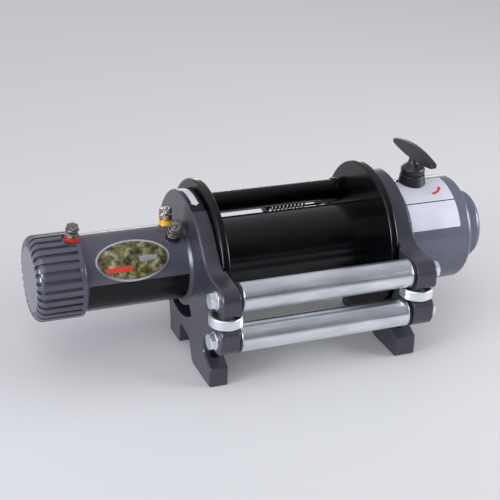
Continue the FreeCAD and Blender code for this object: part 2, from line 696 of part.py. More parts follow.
def finned_cap():
    # Cast cap over the motor end. The grooves are what the corner-following gap between
    # the outer skin and the groove floor leaves inside evenly spaced slabs.
    start = CAP_END_X + CAP_LENGTH
    end = CAP_END_X
    floor_end = end + FIN_DEPTH
    floor_r = CAP_R - FIN_DEPTH
    hollow_end = end + CAP_END_WALL
    hollow_r = MOTOR_R - MOTOR_WALL
    skin = turned([(start, 0), (start, CAP_R, SMALL_ROUND), (end, CAP_R, CAP_CORNER_R), (end, 0)])
    floor = turned([(start, 0), (start, floor_r), (floor_end, floor_r, CAP_CORNER_R - FIN_DEPTH),
                    (floor_end, 0)])
    band = skin.cut([floor, rod(end - PAST, floor_end + PAST, FIN_INNER_R)])
    grooves = []
    for i in range(FIN_COUNT):
        groove = box(end - PAST, start - CAP_RIM, 0, CAP_R + PAST, -FIN_GROOVE / 2, FIN_GROOVE / 2)
        groove.rotate(ORIGIN, X, 360.0 / FIN_COUNT * (i + 0.5))
        grooves.append(band.common(groove))
    # U-shaped pocket round the terminal, open towards the motor.
    name, pocket_x, tilt, seat = TERMINALS[0]
    pocket = Part.makeCylinder(CAP_POCKET_R, CAP_R).fuse(
        box(0, start + PAST - pocket_x, -CAP_POCKET_R, CAP_POCKET_R, 0, CAP_R))
    pad = Part.makeCylinder(CAP_POCKET_R, seat, X * pocket_x).common(rod(end, start, CAP_R))
    pad.rotate(ORIGIN, X, tilt)
    pocket = upright(pocket, pocket_x, tilt, seat)
    hollow = turned([
        (start + PAST, 0), (start + PAST, MOTOR_R + FIT), (MOTOR_END_X, MOTOR_R + FIT),
        (MOTOR_END_X, hollow_r),
        (hollow_end, hollow_r, CAP_HOLLOW_R), (hollow_end, 0),
    ])
    boss = rod(hollow_end, hollow_end + BEARING_BOSS_H, BEARING_BOSS_R)
    shaft_hole = rod(hollow_end + SHAFT_FLOOR, start, DRIVE_SHAFT_R + FIT)
    cap = skin.cut(grooves).fuse(pad).cut([pocket, hollow]).fuse(boss)
    keep("motor_end_cap", cap.cut([shaft_hole, stud_hole(pocket_x, tilt, seat)]))


def spokes(shape, count):
    # Copies of a shape evenly turned about the drum axis.
    copies = []
    for i in range(count):
        copy = shape.copy()
        copy.rotate(ORIGIN, X, 360.0 / count * i)
        copies.append(copy)
    return copies


def motor():
    seat = MOTOR_FACE_X
    shell = tube(MOTOR_END_X, seat, MOTOR_R, MOTOR_R - MOTOR_WALL)
    pads = []
    holes = []
    for name, x, tilt, radius in TERMINALS[1:]:
        pad = Part.makeCylinder(INSULATOR_R + PAD_MARGIN, MOTOR_WALL, -Z * MOTOR_WALL)
        pads.append(upright(pad, x, tilt, radius).cut(rod(MOTOR_END_X, seat, MOTOR_R - PAD_H)))
        holes.append(stud_hole(x, tilt, radius))
    keep("motor_housing", shell.fuse(pads).cut(holes))
    inside = MOTOR_R - MOTOR_WALL - FIT
    plate_start = seat - END_PLATE_T
    keep("motor_drive_end_plate", tube(plate_start, seat, inside, DRIVE_SHAFT_R + FIT))
    core_start = plate_start - ARMATURE_GAP
    core_end = core_start - ARMATURE_LENGTH
    core = tube(core_end, core_start, ARMATURE_R, DRIVE_SHAFT_R)
    slot = box(core_end - PAST, core_start + PAST, ARMATURE_R - ARMATURE_SLOT_D, ARMATURE_R + PAST,
               -ARMATURE_SLOT_W / 2, ARMATURE_SLOT_W / 2)
    keep("armature", core.cut(spokes(slot, ARMATURE_SLOTS)))
    field = tube(core_end, core_start, inside, ARMATURE_R + POLE_GAP)
    space = box(core_end - PAST, core_start + PAST, 0, inside - POLE_YOKE, -POLE_SPACE / 2, POLE_SPACE / 2)
    keep("field_poles", field.cut(spokes(space, POLE_COUNT)))
    commutator_start = core_end - COMMUTATOR_GAP
    commutator_end = commutator_start - COMMUTATOR_LENGTH
    keep("commutator", tube(commutator_end, commutator_start, COMMUTATOR_R, DRIVE_SHAFT_R))
    brush_start = (commutator_start + commutator_end - BRUSH_LENGTH) / 2
    ring = tube(brush_start - BRUSH_PLATE_T, brush_start, inside, COMMUTATOR_R + BRUSH_PLATE_GAP)
    brush = box(brush_start, brush_start + BRUSH_LENGTH, -BRUSH_W / 2, BRUSH_W / 2,
                COMMUTATOR_R + SLIP, inside - BRUSH_MARGIN)
    keep("brush_ring", ring.fuse(spokes(brush, POLE_COUNT)))
    shaft_start = CAP_END_X + CAP_END_WALL + SHAFT_FLOOR + RUN_GAP
    keep("drive_shaft", rod(shaft_start, SHAFT_END, DRIVE_SHAFT_R))


# ---- gearbox ----

def toothed(teeth, root_r, tip_r, tooth_width, phase, x0, x1, y=0.0, z=0.0):
    # A solid toothed disc. Each flank is one arc through three points of its involute.
    pitch_r = teeth * GEAR_MODULE / 2
    pressure = math.radians(PRESSURE_ANGLE)
    base_r = pitch_r * math.cos(pressure)
    flank_r = max(base_r, root_r)

    def half_angle(radius):
        lean = math.acos(min(1.0, base_r / radius))
        return tooth_width / (2 * pitch_r) + math.tan(pressure) - pressure - math.tan(lean) + lean

    def spot(radius, angle):
        return Vector(x0, y + radius * math.cos(angle), z + radius * math.sin(angle))

    step = 2 * math.pi / teeth
    radii = [flank_r, (flank_r + tip_r) / 2, tip_r]
    edges = []
    for i in range(teeth):
        centre = phase + step * i
        rise = [spot(r, centre - half_angle(r)) for r in radii]
        fall = [spot(r, centre + half_angle(r)) for r in reversed(radii)]
        valley = [fall[2], spot(root_r, centre + half_angle(flank_r)),
                  spot(root_r, centre + step - half_angle(flank_r)),
                  spot(flank_r, centre + step - half_angle(flank_r))]
        edges.append(Part.Arc(*rise).toShape())
        edges.append(Part.makeLine(rise[2], fall[0]))
        edges.append(Part.Arc(*fall).toShape())
        for start, end in zip(valley, valley[1:]):
            if start.distanceToPoint(end) > 1e-6:
                edges.append(Part.makeLine(start, end))
    return Part.Face(Part.Wire(edges)).extrude(Vector(x1 - x0, 0, 0))


def outside_gear(teeth, phase, x0, x1, y=0.0, z=0.0):
    pitch_r = teeth * GEAR_MODULE / 2
    width = math.pi * GEAR_MODULE / 2 - TOOTH_BACKLASH / 2
    return toothed(teeth, pitch_r - DEDENDUM * GEAR_MODULE, pitch_r + ADDENDUM * GEAR_MODULE,
                   width, phase, x0, x1, y, z)


def stage_start(stage):
    # Drum side of the carrier. The last stage is next to the drum.
    return GEAR_FACE_X + RUN_GAP + (STAGE_COUNT - stage) * STAGE_PITCH


def gear_span(stage):
    start = stage_start(stage) + CARRIER_T + RUN_GAP
    return start, start + GEAR_WIDTH


def planet_angles():
    return [math.pi / 2 + 2 * math.pi * i / PLANET_COUNT for i in range(PLANET_COUNT)]


def planet_phase(angle):
    # A gap of the planet faces the sun where a sun tooth points at it.
    return angle + math.pi + (SUN_TEETH * angle + math.pi) / PLANET_TEETH


def ring_gear(stage):
    # Spans the carrier and the gears of its stage. The cutter's teeth are the gaps of the ring.
    start = stage_start(stage)
    end = start + STAGE_PITCH - RUN_GAP
    pitch_r = RING_TEETH * GEAR_MODULE / 2
    angle = planet_angles()[0]
    phase = angle + PLANET_TEETH * (planet_phase(angle) - angle) / RING_TEETH
    width = math.pi * GEAR_MODULE / 2 + TOOTH_BACKLASH / 2
    cutter = toothed(RING_TEETH, pitch_r - ADDENDUM * GEAR_MODULE, pitch_r + DEDENDUM * GEAR_MODULE,
                     width, phase, start - 1, end + 1)
    return rod(start, end, RING_R).cut(cutter)


def sun(x0, x1):
    return outside_gear(SUN_TEETH, 0.0, x0, x1)


def carrier(stage, core):
    # A disc with the planet pins on the motor's far side. The core drives what comes next.
    start = stage_start(stage)
    disc = rod(start, start + CARRIER_T, PLANET_CENTRE + PLANET_PIN_R + CARRIER_EDGE)
    pins = [rod(start, gear_span(stage)[1], PLANET_PIN_R,
                PLANET_CENTRE * math.cos(a), PLANET_CENTRE * math.sin(a)) for a in planet_angles()]
    reach = STAGE_COUNT * STAGE_PITCH
    return disc.fuse(pins + [core]).cut(rod(start - reach, start + reach, DRIVE_SHAFT_R + SHAFT_CLEAR))


def gear_train():
    keep("first_sun_gear", sun(*gear_span(1)).cut(rod(*gear_span(1), DRIVE_SHAFT_R)))
    keep("first_carrier", carrier(1, sun(gear_span(2)[0], stage_start(1))))
    keep("second_carrier", carrier(2, sun(gear_span(3)[0], stage_start(2))))
    keep("third_carrier", carrier(3, rod(DRUM_WIDTH / 2 - PLUG_DEPTH, stage_start(3), OUTPUT_HUB_R)))
    for stage, name in ((1, "first"), (2, "second"), (3, "third")):
        start, end = gear_span(stage)
        for i, angle in enumerate(planet_angles()):
            y, z = PLANET_CENTRE * math.cos(angle), PLANET_CENTRE * math.sin(angle)
            gear = outside_gear(PLANET_TEETH, planet_phase(angle), start, end, y, z)
            keep(name + "_planet_" + "abc"[i], gear.cut(rod(start - 1, end + 1, PLANET_PIN_R + FIT, y, z)))
    keep("first_ring_gear", ring_gear(1))
    keep("third_ring_gear", ring_gear(3))
    half = PLUNGER_R + SLIP
    notch = box(CLUTCH_X - half, CLUTCH_X + half, -half, half, RING_R - LOCK_DEPTH, RING_R + PAST)
    keep("clutch_ring_gear", ring_gear(2).cut(spokes(notch, LOCK_NOTCHES)))


def gearbox_housing():
    bore = HOUSING_R - HOUSING_WALL
    spigot = END_CAP_R - END_CAP_WALL
    inner_end = HOUSING_END_X - HOUSING_END_WALL
    shell = turned([
        (GEAR_FACE_X, bore), (GEAR_FACE_X, HOUSING_R, SMALL_ROUND), (HOUSING_END_X, HOUSING_R, HOUSING_ROUND),
        (HOUSING_END_X, spigot), (inner_end, spigot), (inner_end, bore),
    ])
    crown = Vector(CLUTCH_X, 0, CLUTCH_BASE)
    spot_face = Part.makeCylinder(CLUTCH_FOOT_R + SPOT_FACE_MARGIN, HOUSING_R, crown)
    passage = Part.makeCylinder(PLUNGER_R + FIT, HOUSING_R, Vector(CLUTCH_X, 0, HOUSING_R / 2))
    keep("gearbox_housing", shell.cut([spot_face, passage]))
    end = HOUSING_END_X + END_CAP_H
    inside = END_CAP_R - END_CAP_WALL
    bore = inside - SPIGOT_WALL
    spigot_end = HOUSING_END_X - HOUSING_END_WALL / 2
    cap = turned([
        (spigot_end, bore), (spigot_end, inside - FIT), (HOUSING_END_X, inside - FIT),
        (HOUSING_END_X, END_CAP_R), (end, END_CAP_R, END_CAP_ROUND), (end, 0),
        (end - END_CAP_WALL, 0), (end - END_CAP_WALL, bore, SPIGOT_ROUND),
    ])
    bearing = tube(end - END_CAP_WALL - END_BEARING_H, end - END_CAP_WALL, DRIVE_SHAFT_R + END_BEARING_WALL,
                   DRIVE_SHAFT_R + FIT)
    keep("gearbox_end_cap", cap.fuse(bearing))


# ---- clutch ----

def clutch():
    bore = PLUNGER_R + FIT
    socket = turned([(CLUTCH_BASE, bore), (CLUTCH_TOP, bore), (CLUTCH_TOP, CLUTCH_R, SMALL_ROUND),
                     (CLUTCH_BASE, CLUTCH_FOOT_R)], Z)
    socket.translate(X * CLUTCH_X)
    keep("clutch_socket", socket)
    collar_base = CLUTCH_TOP + 2 * SLIP
    collar_top = collar_base + COLLAR_H
    plunger_tip = RING_R - LOCK_DEPTH + SLIP
    plunger_top = collar_top - PLUNGER_SINK
    keep("clutch_plunger", Part.makeCylinder(PLUNGER_R, plunger_top - plunger_tip,
                                             Vector(CLUTCH_X, 0, plunger_tip)))
    neck_base = collar_top + COLLAR_CONE_H
    neck_top = neck_base + NECK_H
    bell = turned([
        (collar_base, bore), (collar_base, COLLAR_R, SMALL_ROUND), (collar_top, COLLAR_R, COLLAR_ROUND),
        (neck_base, NECK_R, NECK_FLARE_R), (neck_top, NECK_R), (neck_top + NECK_BLEND, GRIP_T / 2 - SLIP),
        (neck_top + NECK_BLEND, 0), (plunger_top + SLIP, 0), (plunger_top + SLIP, bore),
    ], Z)
    handle = bell.fuse(grip(neck_top + GRIP_BELLY))
    handle.translate(X * CLUTCH_X)
    keep("clutch_handle", handle)


def grip(tip_z):
    # Lens-shaped cross handle along Y. Two shallow arches of different rise run tangent
    # into round ends.
    nose = GRIP_END_H / 2
    reach = GRIP_LENGTH / 2 - nose

    def arch(rise):
        # Touching point and radius of the arch that passes this far from the tips' line.
        radius = (reach ** 2 / (rise - nose) + nose + rise) / 2
        stretch = radius / (radius - nose)
        return reach * stretch, (radius - rise) * (stretch - 1)

    def spot(y, z):
        return Vector(-GRIP_T / 2, y, tip_z + z)

    top_y, top_z = arch(GRIP_CROWN)
    low_y, low_z = arch(GRIP_BELLY)
    edges = [
        Part.Arc(spot(-low_y, -low_z), spot(-GRIP_LENGTH / 2, 0), spot(-top_y, top_z)).toShape(),
        Part.Arc(spot(-top_y, top_z), spot(0, GRIP_CROWN), spot(top_y, top_z)).toShape(),
        Part.Arc(spot(top_y, top_z), spot(GRIP_LENGTH / 2, 0), spot(low_y, -low_z)).toShape(),
        Part.Arc(spot(low_y, -low_z), spot(0, -GRIP_BELLY), spot(-low_y, -low_z)).toShape(),
    ]
    blank = Part.Face(Part.Wire(edges)).extrude(X * GRIP_T)
    rims = [e for e in blank.Edges if abs(abs(e.BoundBox.Center.x) - GRIP_T / 2) < 1e-3]
    return blank.makeFillet(GRIP_EDGE, rims)


end_castings()
drum()
fairlead()
rear_shafts()
tensioner()
tensioner_spring()
terminals()
finned_cap()
motor()
gear_train()
gearbox_housing()
clutch()
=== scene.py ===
import bpy
import json
import math
from mathutils import Matrix, Vector


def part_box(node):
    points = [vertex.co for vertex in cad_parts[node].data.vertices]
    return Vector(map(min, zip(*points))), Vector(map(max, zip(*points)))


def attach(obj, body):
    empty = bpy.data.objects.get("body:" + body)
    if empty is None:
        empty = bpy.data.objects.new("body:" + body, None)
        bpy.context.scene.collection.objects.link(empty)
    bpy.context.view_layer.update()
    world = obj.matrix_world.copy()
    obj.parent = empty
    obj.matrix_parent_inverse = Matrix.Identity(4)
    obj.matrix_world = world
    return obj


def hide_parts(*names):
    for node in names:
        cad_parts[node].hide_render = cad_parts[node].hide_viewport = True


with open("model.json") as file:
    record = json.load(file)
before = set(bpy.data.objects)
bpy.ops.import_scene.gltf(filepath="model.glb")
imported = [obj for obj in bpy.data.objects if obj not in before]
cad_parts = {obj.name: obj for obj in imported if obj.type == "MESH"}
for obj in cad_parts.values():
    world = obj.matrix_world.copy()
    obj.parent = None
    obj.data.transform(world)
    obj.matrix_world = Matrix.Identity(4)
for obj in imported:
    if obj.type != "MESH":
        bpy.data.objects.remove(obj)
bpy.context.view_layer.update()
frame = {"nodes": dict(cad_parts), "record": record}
nodes = frame["nodes"]
bpy.ops.object.select_all(action="DESELECT")
touching = 1e-6      # lengths that differ by less count as equal
facing = 0.9         # a face looks along an axis when its normal has at least this much along it


def corners(node):
    low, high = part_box(node)
    return Vector(low), Vector(high)


def middle(node):
    low, high = corners(node)
    return (low + high) / 2


drumAxis = middle("drum_barrel")
print("frame loaded:", len(nodes), "nodes")


viewPoint = {
    "azimuth": -22.75,
    "elevation": 24.97,
    "roll": 2.51,
    "distance": 1.8957,
    "aimFromAxis": Vector((-0.0506, 0.0, 0.0007)),
    "lens": 92.62,
    "sensor": 36.0,
    "farthest": 50.0,
}


def placeCamera():
    turn = math.radians(viewPoint["azimuth"])
    rise = math.radians(viewPoint["elevation"])
    lean = math.radians(viewPoint["roll"])
    back = Vector((math.sin(turn) * math.cos(rise), -math.cos(turn) * math.cos(rise), math.sin(rise)))
    side = Vector((math.cos(turn), math.sin(turn), 0))
    top = back.cross(side)
    rolledSide = side * math.cos(lean) + top * math.sin(lean)
    rolledTop = top * math.cos(lean) - side * math.sin(lean)
    spot = drumAxis + viewPoint["aimFromAxis"] + back * viewPoint["distance"]
    bpy.ops.object.camera_add(location=spot)
    camera = bpy.context.object
    camera.name = "studioCamera"
    axes = Matrix((rolledSide, rolledTop, back)).transposed()
    camera.matrix_world = Matrix.Translation(spot) @ axes.to_4x4()
    camera.data.lens = viewPoint["lens"]
    camera.data.sensor_width = viewPoint["sensor"]
    camera.data.clip_end = viewPoint["farthest"]
    bpy.context.scene.camera = camera


def startMaterial(name):
    material = bpy.data.materials.new(name)
    material.use_nodes = True
    return material, material.node_tree, material.node_tree.nodes["Principled BSDF"]


def addNode(tree, kind, links=(), **settings):
    # links: (input socket, source node, output socket), each socket by its name or number
    node = tree.nodes.new(kind)
    for key, value in settings.items():
        if key in node.inputs.keys():
            node.inputs[key].default_value = value
        else:
            setattr(node, key, value)
    for target, source, output in links:
        tree.links.new(source.outputs[output], node.inputs[target])
    return node


def remap(tree, source, output, fromRange=(0, 1), toRange=(0, 1)):
    # spreads one range of a value over another
    node = addNode(tree, "ShaderNodeMapRange", [("Value", source, output)])
    for key, value in zip(("From Min", "From Max", "To Min", "To Max"), fromRange + toRange):
        node.inputs[key].default_value = value
    return node


studio = {
    "floorSize": 30.0,
    "floorSquares": 4,
    "floorColour": (0.63, 0.63, 0.63, 1),
    "floorRoughness": 0.9,
    "floorGloss": 0.1,
    "backdrop": 0.62,      # how bright the sky looks where it is seen past the floor
    "skyColour": (0.92, 0.93, 1.0, 1),
    "skyLow": 0.05,        # towards the front
    "skyHigh": 0.75,       # overhead and behind
    "skyLean": (-0.40, 0.50, 0.72),
    "skyFade": (-0.35, 0.95),
    "sunStrength": 1.2,
    "sunSpread": 60,
    "sunFrom": (34, -30, 0),
    # name, from where (as seen from the winch), size, watts, colour, how wide it shines in degrees
    "panels": [
        ("leftPanel", Vector((-2.6, -0.85, 0.50)), (1.0, 1.0), 15.5, (0.82, 0.86, 1.0), 90),
        ("backPanel", Vector((1.0, 2.6, 0.20)), (4.0, 0.45), 1.9, (1.0, 0.93, 0.80), 50),
        ("rightPanel", Vector((2.3, -1.0, 0.65)), (1.7, 1.1), 19, (0.92, 0.94, 1.0), 90),
    ],
}


def buildFloor():
    bpy.ops.mesh.primitive_grid_add(x_subdivisions=studio["floorSquares"],
                                    y_subdivisions=studio["floorSquares"], size=studio["floorSize"])
    floor = bpy.context.object
    floor.name = "paleFloor"
    paint, tree, shader = startMaterial("floorPaint")
    shader.inputs["Base Color"].default_value = studio["floorColour"]
    shader.inputs["Roughness"].default_value = studio["floorRoughness"]
    shader.inputs["Specular IOR Level"].default_value = studio["floorGloss"]
    floor.data.materials.append(paint)


def buildSky():
    # dark in front and bright overhead and behind; the camera itself sees an even backdrop
    world = bpy.data.worlds.new("studioSky")
    world.use_nodes = True
    tree = world.node_tree
    sky = tree.nodes["Background"]
    sky.inputs["Color"].default_value = studio["skyColour"]
    look = addNode(tree, "ShaderNodeTexCoord")
    lean = addNode(tree, "ShaderNodeVectorMath", [(0, look, "Generated")], operation="DOT_PRODUCT")
    lean.inputs[1].default_value = studio["skyLean"]
    glow = remap(tree, lean, "Value", studio["skyFade"], (studio["skyLow"], studio["skyHigh"]))
    glow.interpolation_type = "SMOOTHSTEP"
    path = addNode(tree, "ShaderNodeLightPath")
    seen = addNode(tree, "ShaderNodeMix", [("Factor", path, "Is Camera Ray"), ("A", glow, "Result")],
                   B=studio["backdrop"])
    tree.links.new(seen.outputs["Result"], sky.inputs["Strength"])
    bpy.context.scene.world = world


def buildLights():
    bpy.ops.object.light_add(type="SUN", rotation=[math.radians(a) for a in studio["sunFrom"]])
    sun = bpy.context.object
    sun.name = "softSun"
    sun.data.energy = studio["sunStrength"]
    sun.data.angle = math.radians(studio["sunSpread"])
    for name, offset, size, watts, colour, spread in studio["panels"]:
        bpy.ops.object.light_add(type="AREA", location=drumAxis + offset)
        panel = bpy.context.object
        panel.name = name
        panel.data.shape = "RECTANGLE"
        panel.data.size, panel.data.size_y = size
        panel.data.energy = watts
        panel.data.color = colour
        panel.data.spread = math.radians(spread)
        panel.rotation_euler = (-offset).to_track_quat("-Z", "Y").to_euler()


placeCamera()
buildFloor()
buildSky()
buildLights()
bpy.context.scene.view_settings.view_transform = "Standard"
print("camera, floor and light placed")


def newGroup(name, inputs, outputs):
    group = bpy.data.node_groups.new(name, "ShaderNodeTree")
    for label, value in inputs:
        socket = group.interface.new_socket(name=label, in_out="INPUT", socket_type="NodeSocketFloat")
        socket.default_value = value
    for label, kind in outputs:
        group.interface.new_socket(name=label, in_out="OUTPUT", socket_type=kind)
    start = group.nodes.new("NodeGroupInput")
    end = group.nodes.new("NodeGroupOutput")
    return group, start, end


def placeGroup(tree, group, **values):
    node = addNode(tree, "ShaderNodeGroup", node_tree=group)
    for key, value in values.items():
        node.inputs[key.replace("_", " ")].default_value = value
    return node


paintGrainLook = {
    "grainSize": 1400.0,
    "grainDetail": 3.0,
    "peelSize": 320.0,
    "peelDetail": 1.0,
    "cloudSize": 14.0,
    "cloudDetail": 4.0,
}


def buildPaintGrain():
    # fine orange peel and powder grain of a sprayed coat, with a faint cloudy drift of colour
    look = paintGrainLook
    group, start, end = newGroup("paintGrain", [
        ("Grain Size", look["grainSize"]),
        ("Peel Size", look["peelSize"]),
    ], [("Height", "NodeSocketFloat"), ("Cloud", "NodeSocketFloat")])
    place = addNode(group, "ShaderNodeTexCoord")
    grain = addNode(group, "ShaderNodeTexNoise", [
        ("Vector", place, "Object"),
        ("Scale", start, "Grain Size"),
    ], Detail=look["grainDetail"])
    peel = addNode(group, "ShaderNodeTexNoise", [
        ("Vector", place, "Object"),
        ("Scale", start, "Peel Size"),
    ], Detail=look["peelDetail"])
    mixed = addNode(group, "ShaderNodeMath", [(0, grain, "Fac"), (1, peel, "Fac")], operation="ADD")
    cloud = addNode(group, "ShaderNodeTexNoise", [("Vector", place, "Object")],
                    Scale=look["cloudSize"], Detail=look["cloudDetail"])
    group.links.new(mixed.outputs[0], end.inputs["Height"])
    group.links.new(cloud.outputs["Fac"], end.inputs["Cloud"])
    return group


softEdgesLook = {
    "radius": 0.001,
    "samples": 6,
    "flatToSharp": (0.995, 0.80),    # how far the rounded normal agrees with the face's own
}


def buildSoftEdges():
    # rounds sharp edges in the shading and tells where they are
    look = softEdgesLook
    group, start, end = newGroup("softEdges", [("Radius", look["radius"])],
                                 [("Normal", "NodeSocketVector"), ("Edge", "NodeSocketFloat")])
    bevel = addNode(group, "ShaderNodeBevel", [("Radius", start, "Radius")], samples=look["samples"])
    face = addNode(group, "ShaderNodeNewGeometry")
    match = addNode(group, "ShaderNodeVectorMath", [(0, bevel, "Normal"), (1, face, "Normal")],
                    operation="DOT_PRODUCT")
    edge = remap(group, match, "Value", look["flatToSharp"])
    group.links.new(bevel.outputs["Normal"], end.inputs["Normal"])
    group.links.new(edge.outputs["Result"], end.inputs["Edge"])
    return group


brushLinesLook = {
    "density": 900.0,
    "lineStretch": (0.02, 1, 1),
    "lineDetail": 2.0,
    "blotchSize": 55.0,
    "blotchStretch": (0.32, 1, 1),
    "blotchDetail": 5.0,
}


def buildBrushLines():
    # streaks along X, as on drawn and plated tube, with soft blotches of the plating
    look = brushLinesLook
    group, start, end = newGroup("brushLines", [
        ("Line Density", look["density"]),
        ("Blotch Size", look["blotchSize"]),
    ], [("Lines", "NodeSocketFloat"), ("Blotch", "NodeSocketFloat")])
    place = addNode(group, "ShaderNodeTexCoord")
    stretch = addNode(group, "ShaderNodeMapping", [("Vector", place, "Object")],
                      Scale=look["lineStretch"])
    lines = addNode(group, "ShaderNodeTexNoise", [
        ("Vector", stretch, "Vector"),
        ("Scale", start, "Line Density"),
    ], Detail=look["lineDetail"])
    squeeze = addNode(group, "ShaderNodeMapping", [("Vector", place, "Object")],
                      Scale=look["blotchStretch"])
    blotch = addNode(group, "ShaderNodeTexNoise", [
        ("Vector", squeeze, "Vector"),
        ("Scale", start, "Blotch Size"),
    ], Detail=look["blotchDetail"])
    group.links.new(lines.outputs["Fac"], end.inputs["Lines"])
    group.links.new(blotch.outputs["Fac"], end.inputs["Blotch"])
    return group


paintGrain = buildPaintGrain()
softEdges = buildSoftEdges()
brushLines = buildBrushLines()
print("shared effects built")


# the colour mix node's sockets for its two colours and its result
firstColour, secondColour, mixedColour = 6, 7, 2

paintLook = {
    "drift": (0.3, 0.7),         # part of the cloud's values over which the shade changes
    "roughnessDrift": (0.05, 0.05),
    "edgeHighlightShare": 0.10,            # how much of the light shade is added on the edges, a painted highlight
    "coatRoughness": 0.08,
    "bumpHeight": 0.0002,
}

metalLook = {
    "drift": (0.32, 0.68),
    "roughnessDrift": (0.04, 0.06),
    "bumpHeight": 0.0001,
}


def mixShades(tree, source, output, drift, dark, light):
    where = remap(tree, source, output, drift)
    shade = addNode(tree, "ShaderNodeMix", [("Factor", where, "Result")], data_type="RGBA")
    shade.inputs[firstColour].default_value = (*dark, 1)
    shade.inputs[secondColour].default_value = (*light, 1)
    return shade


def varyRoughness(tree, shader, source, output, roughness, drift):
    less, more = drift
    rough = remap(tree, source, output, toRange=(roughness - less, roughness + more))
    tree.links.new(rough.outputs["Result"], shader.inputs["Roughness"])


def addBump(tree, shader, heightSocket, strength, distance, edges):
    bump = addNode(tree, "ShaderNodeBump", [("Normal", edges, "Normal")],
                   Strength=strength, Distance=distance)
    tree.links.new(heightSocket, bump.inputs["Height"])
    tree.links.new(bump.outputs["Normal"], shader.inputs["Normal"])


def sprayedPaint(name, dark, light, roughness, coat, grainStrength, edgeRadius, gloss=0.5):
    # two close shades drift over the surface, and a share of the light shade is added on the edges as a
    # painted highlight
    material, tree, shader = startMaterial(name)
    grain = placeGroup(tree, paintGrain)
    edges = placeGroup(tree, softEdges, Radius=edgeRadius)
    shade = mixShades(tree, grain, "Cloud", paintLook["drift"], dark, light)
    # painted highlight: the edge mask lightens the coat where rounded edges would catch the light
    rim = addNode(tree, "ShaderNodeMath", [(0, edges, "Edge")], operation="MULTIPLY")
    rim.inputs[1].default_value = paintLook["edgeHighlightShare"]
    edgeHighlight = addNode(tree, "ShaderNodeMix", [("Factor", rim, 0)], data_type="RGBA", blend_type="ADD")
    tree.links.new(shade.outputs[mixedColour], edgeHighlight.inputs[firstColour])
    edgeHighlight.inputs[secondColour].default_value = (*light, 1)
    tree.links.new(edgeHighlight.outputs[mixedColour], shader.inputs["Base Color"])
    varyRoughness(tree, shader, grain, "Cloud", roughness, paintLook["roughnessDrift"])
    shader.inputs["Specular IOR Level"].default_value = gloss
    shader.inputs["Coat Weight"].default_value = coat
    shader.inputs["Coat Roughness"].default_value = paintLook["coatRoughness"]
    addBump(tree, shader, grain.outputs["Height"], grainStrength, paintLook["bumpHeight"], edges)
    return material


def platedSteel(name, dark, light, roughness, lineStrength, edgeRadius, density=brushLinesLook["density"]):
    # bare or plated metal, dull and bright in blotches, with fine lines along X
    material, tree, shader = startMaterial(name)
    lines = placeGroup(tree, brushLines, Line_Density=density)
    edges = placeGroup(tree, softEdges, Radius=edgeRadius)
    shade = mixShades(tree, lines, "Blotch", metalLook["drift"], dark, light)
    tree.links.new(shade.outputs[mixedColour], shader.inputs["Base Color"])
    varyRoughness(tree, shader, lines, "Lines", roughness, metalLook["roughnessDrift"])
    shader.inputs["Metallic"].default_value = 1.0
    addBump(tree, shader, lines.outputs["Lines"], lineStrength, metalLook["bumpHeight"], edges)
    return material


# slot: name, dark shade, light shade, roughness, coat, grain, edge radius, gloss
paints = {
    "casting": (
        "castingPaint", (0.025, 0.025, 0.034), (0.037, 0.037, 0.050), 0.26, 0.0, 0.60, 0.0020, 0.6),
    "motor_body": (
        "motorPaint", (0.058, 0.056, 0.078), (0.070, 0.068, 0.093), 0.22, 0.0, 0.08, 0.0008),
    "finned_cap": (
        "capPaint", (0.060, 0.058, 0.078), (0.075, 0.073, 0.098), 0.20, 0.3, 0.12, 0.0016),
    "gearbox": (
        "gearboxPaint", (0.098, 0.098, 0.136), (0.116, 0.116, 0.160), 0.24, 0.1, 0.10, 0.0012),
    "drum": (
        "drumGloss", (0.0008, 0.0008, 0.0014), (0.0014, 0.0014, 0.0024), 0.22, 0.0, 0.03, 0.0010, 0.35),
    "tensioner_black": (
        "tensionerGloss", (0.0008, 0.0008, 0.0012), (0.0016, 0.0016, 0.0022),
        0.26, 0.0, 0.05, 0.0008, 0.25),
    "clutch_black": (
        "clutchPaint", (0.010, 0.010, 0.014), (0.016, 0.016, 0.022), 0.36, 0.0, 0.15, 0.0010),
    "insulator_red": (
        "redInsulator", (0.42, 0.012, 0.012), (0.52, 0.020, 0.018), 0.30, 0.3, 0.05, 0.0008),
    "insulator_yellow": (
        "yellowInsulator", (0.72, 0.36, 0.010), (0.80, 0.44, 0.015), 0.30, 0.3, 0.05, 0.0008),
    "insulator_black": (
        "blackInsulator", (0.003, 0.003, 0.004), (0.006, 0.006, 0.007), 0.36, 0.1, 0.05, 0.0008),
}

# slot: name, dark shade, light shade, roughness, line strength, edge radius, line density
metals = {
    "roller_zinc": (
        "rollerZinc", (0.62, 0.65, 0.70), (0.88, 0.90, 0.94), 0.28, 0.003, 0.0008, 420.0),
    "bright_zinc": ("boltZinc", (0.74, 0.76, 0.80), (0.88, 0.89, 0.93), 0.30, 0.06, 0.0008),
    "terminal_steel": ("terminalSteel", (0.20, 0.18, 0.16), (0.46, 0.43, 0.38), 0.24, 0.08, 0.0004),
    "bronze": ("bushBronze", (0.50, 0.30, 0.13), (0.66, 0.43, 0.20), 0.34, 0.15, 0.0005),
    "steel": ("machinedSteel", (0.34, 0.34, 0.36), (0.50, 0.50, 0.52), 0.32, 0.15, 0.0004),
}

finishes = {slot: sprayedPaint(*look) for slot, look in paints.items()}
finishes.update({slot: platedSteel(*look) for slot, look in metals.items()})


def finishNodes():
    slots = {part["node"]: part["material_slot"] for part in frame["record"]["subparts"]}
    for name, node in nodes.items():
        node.data.materials.clear()
        node.data.materials.append(finishes[slots[name]])


finishNodes()
print("finishes assigned")


def nothingSelected():
    if bpy.context.object and bpy.context.object.mode != "OBJECT":
        bpy.ops.object.mode_set(mode="OBJECT")
    bpy.ops.object.select_all(action="DESELECT")


def onlySelected(*pieces):
    nothingSelected()
    for piece in pieces:
        piece.select_set(True)
    bpy.context.view_layer.objects.active = pieces[0]


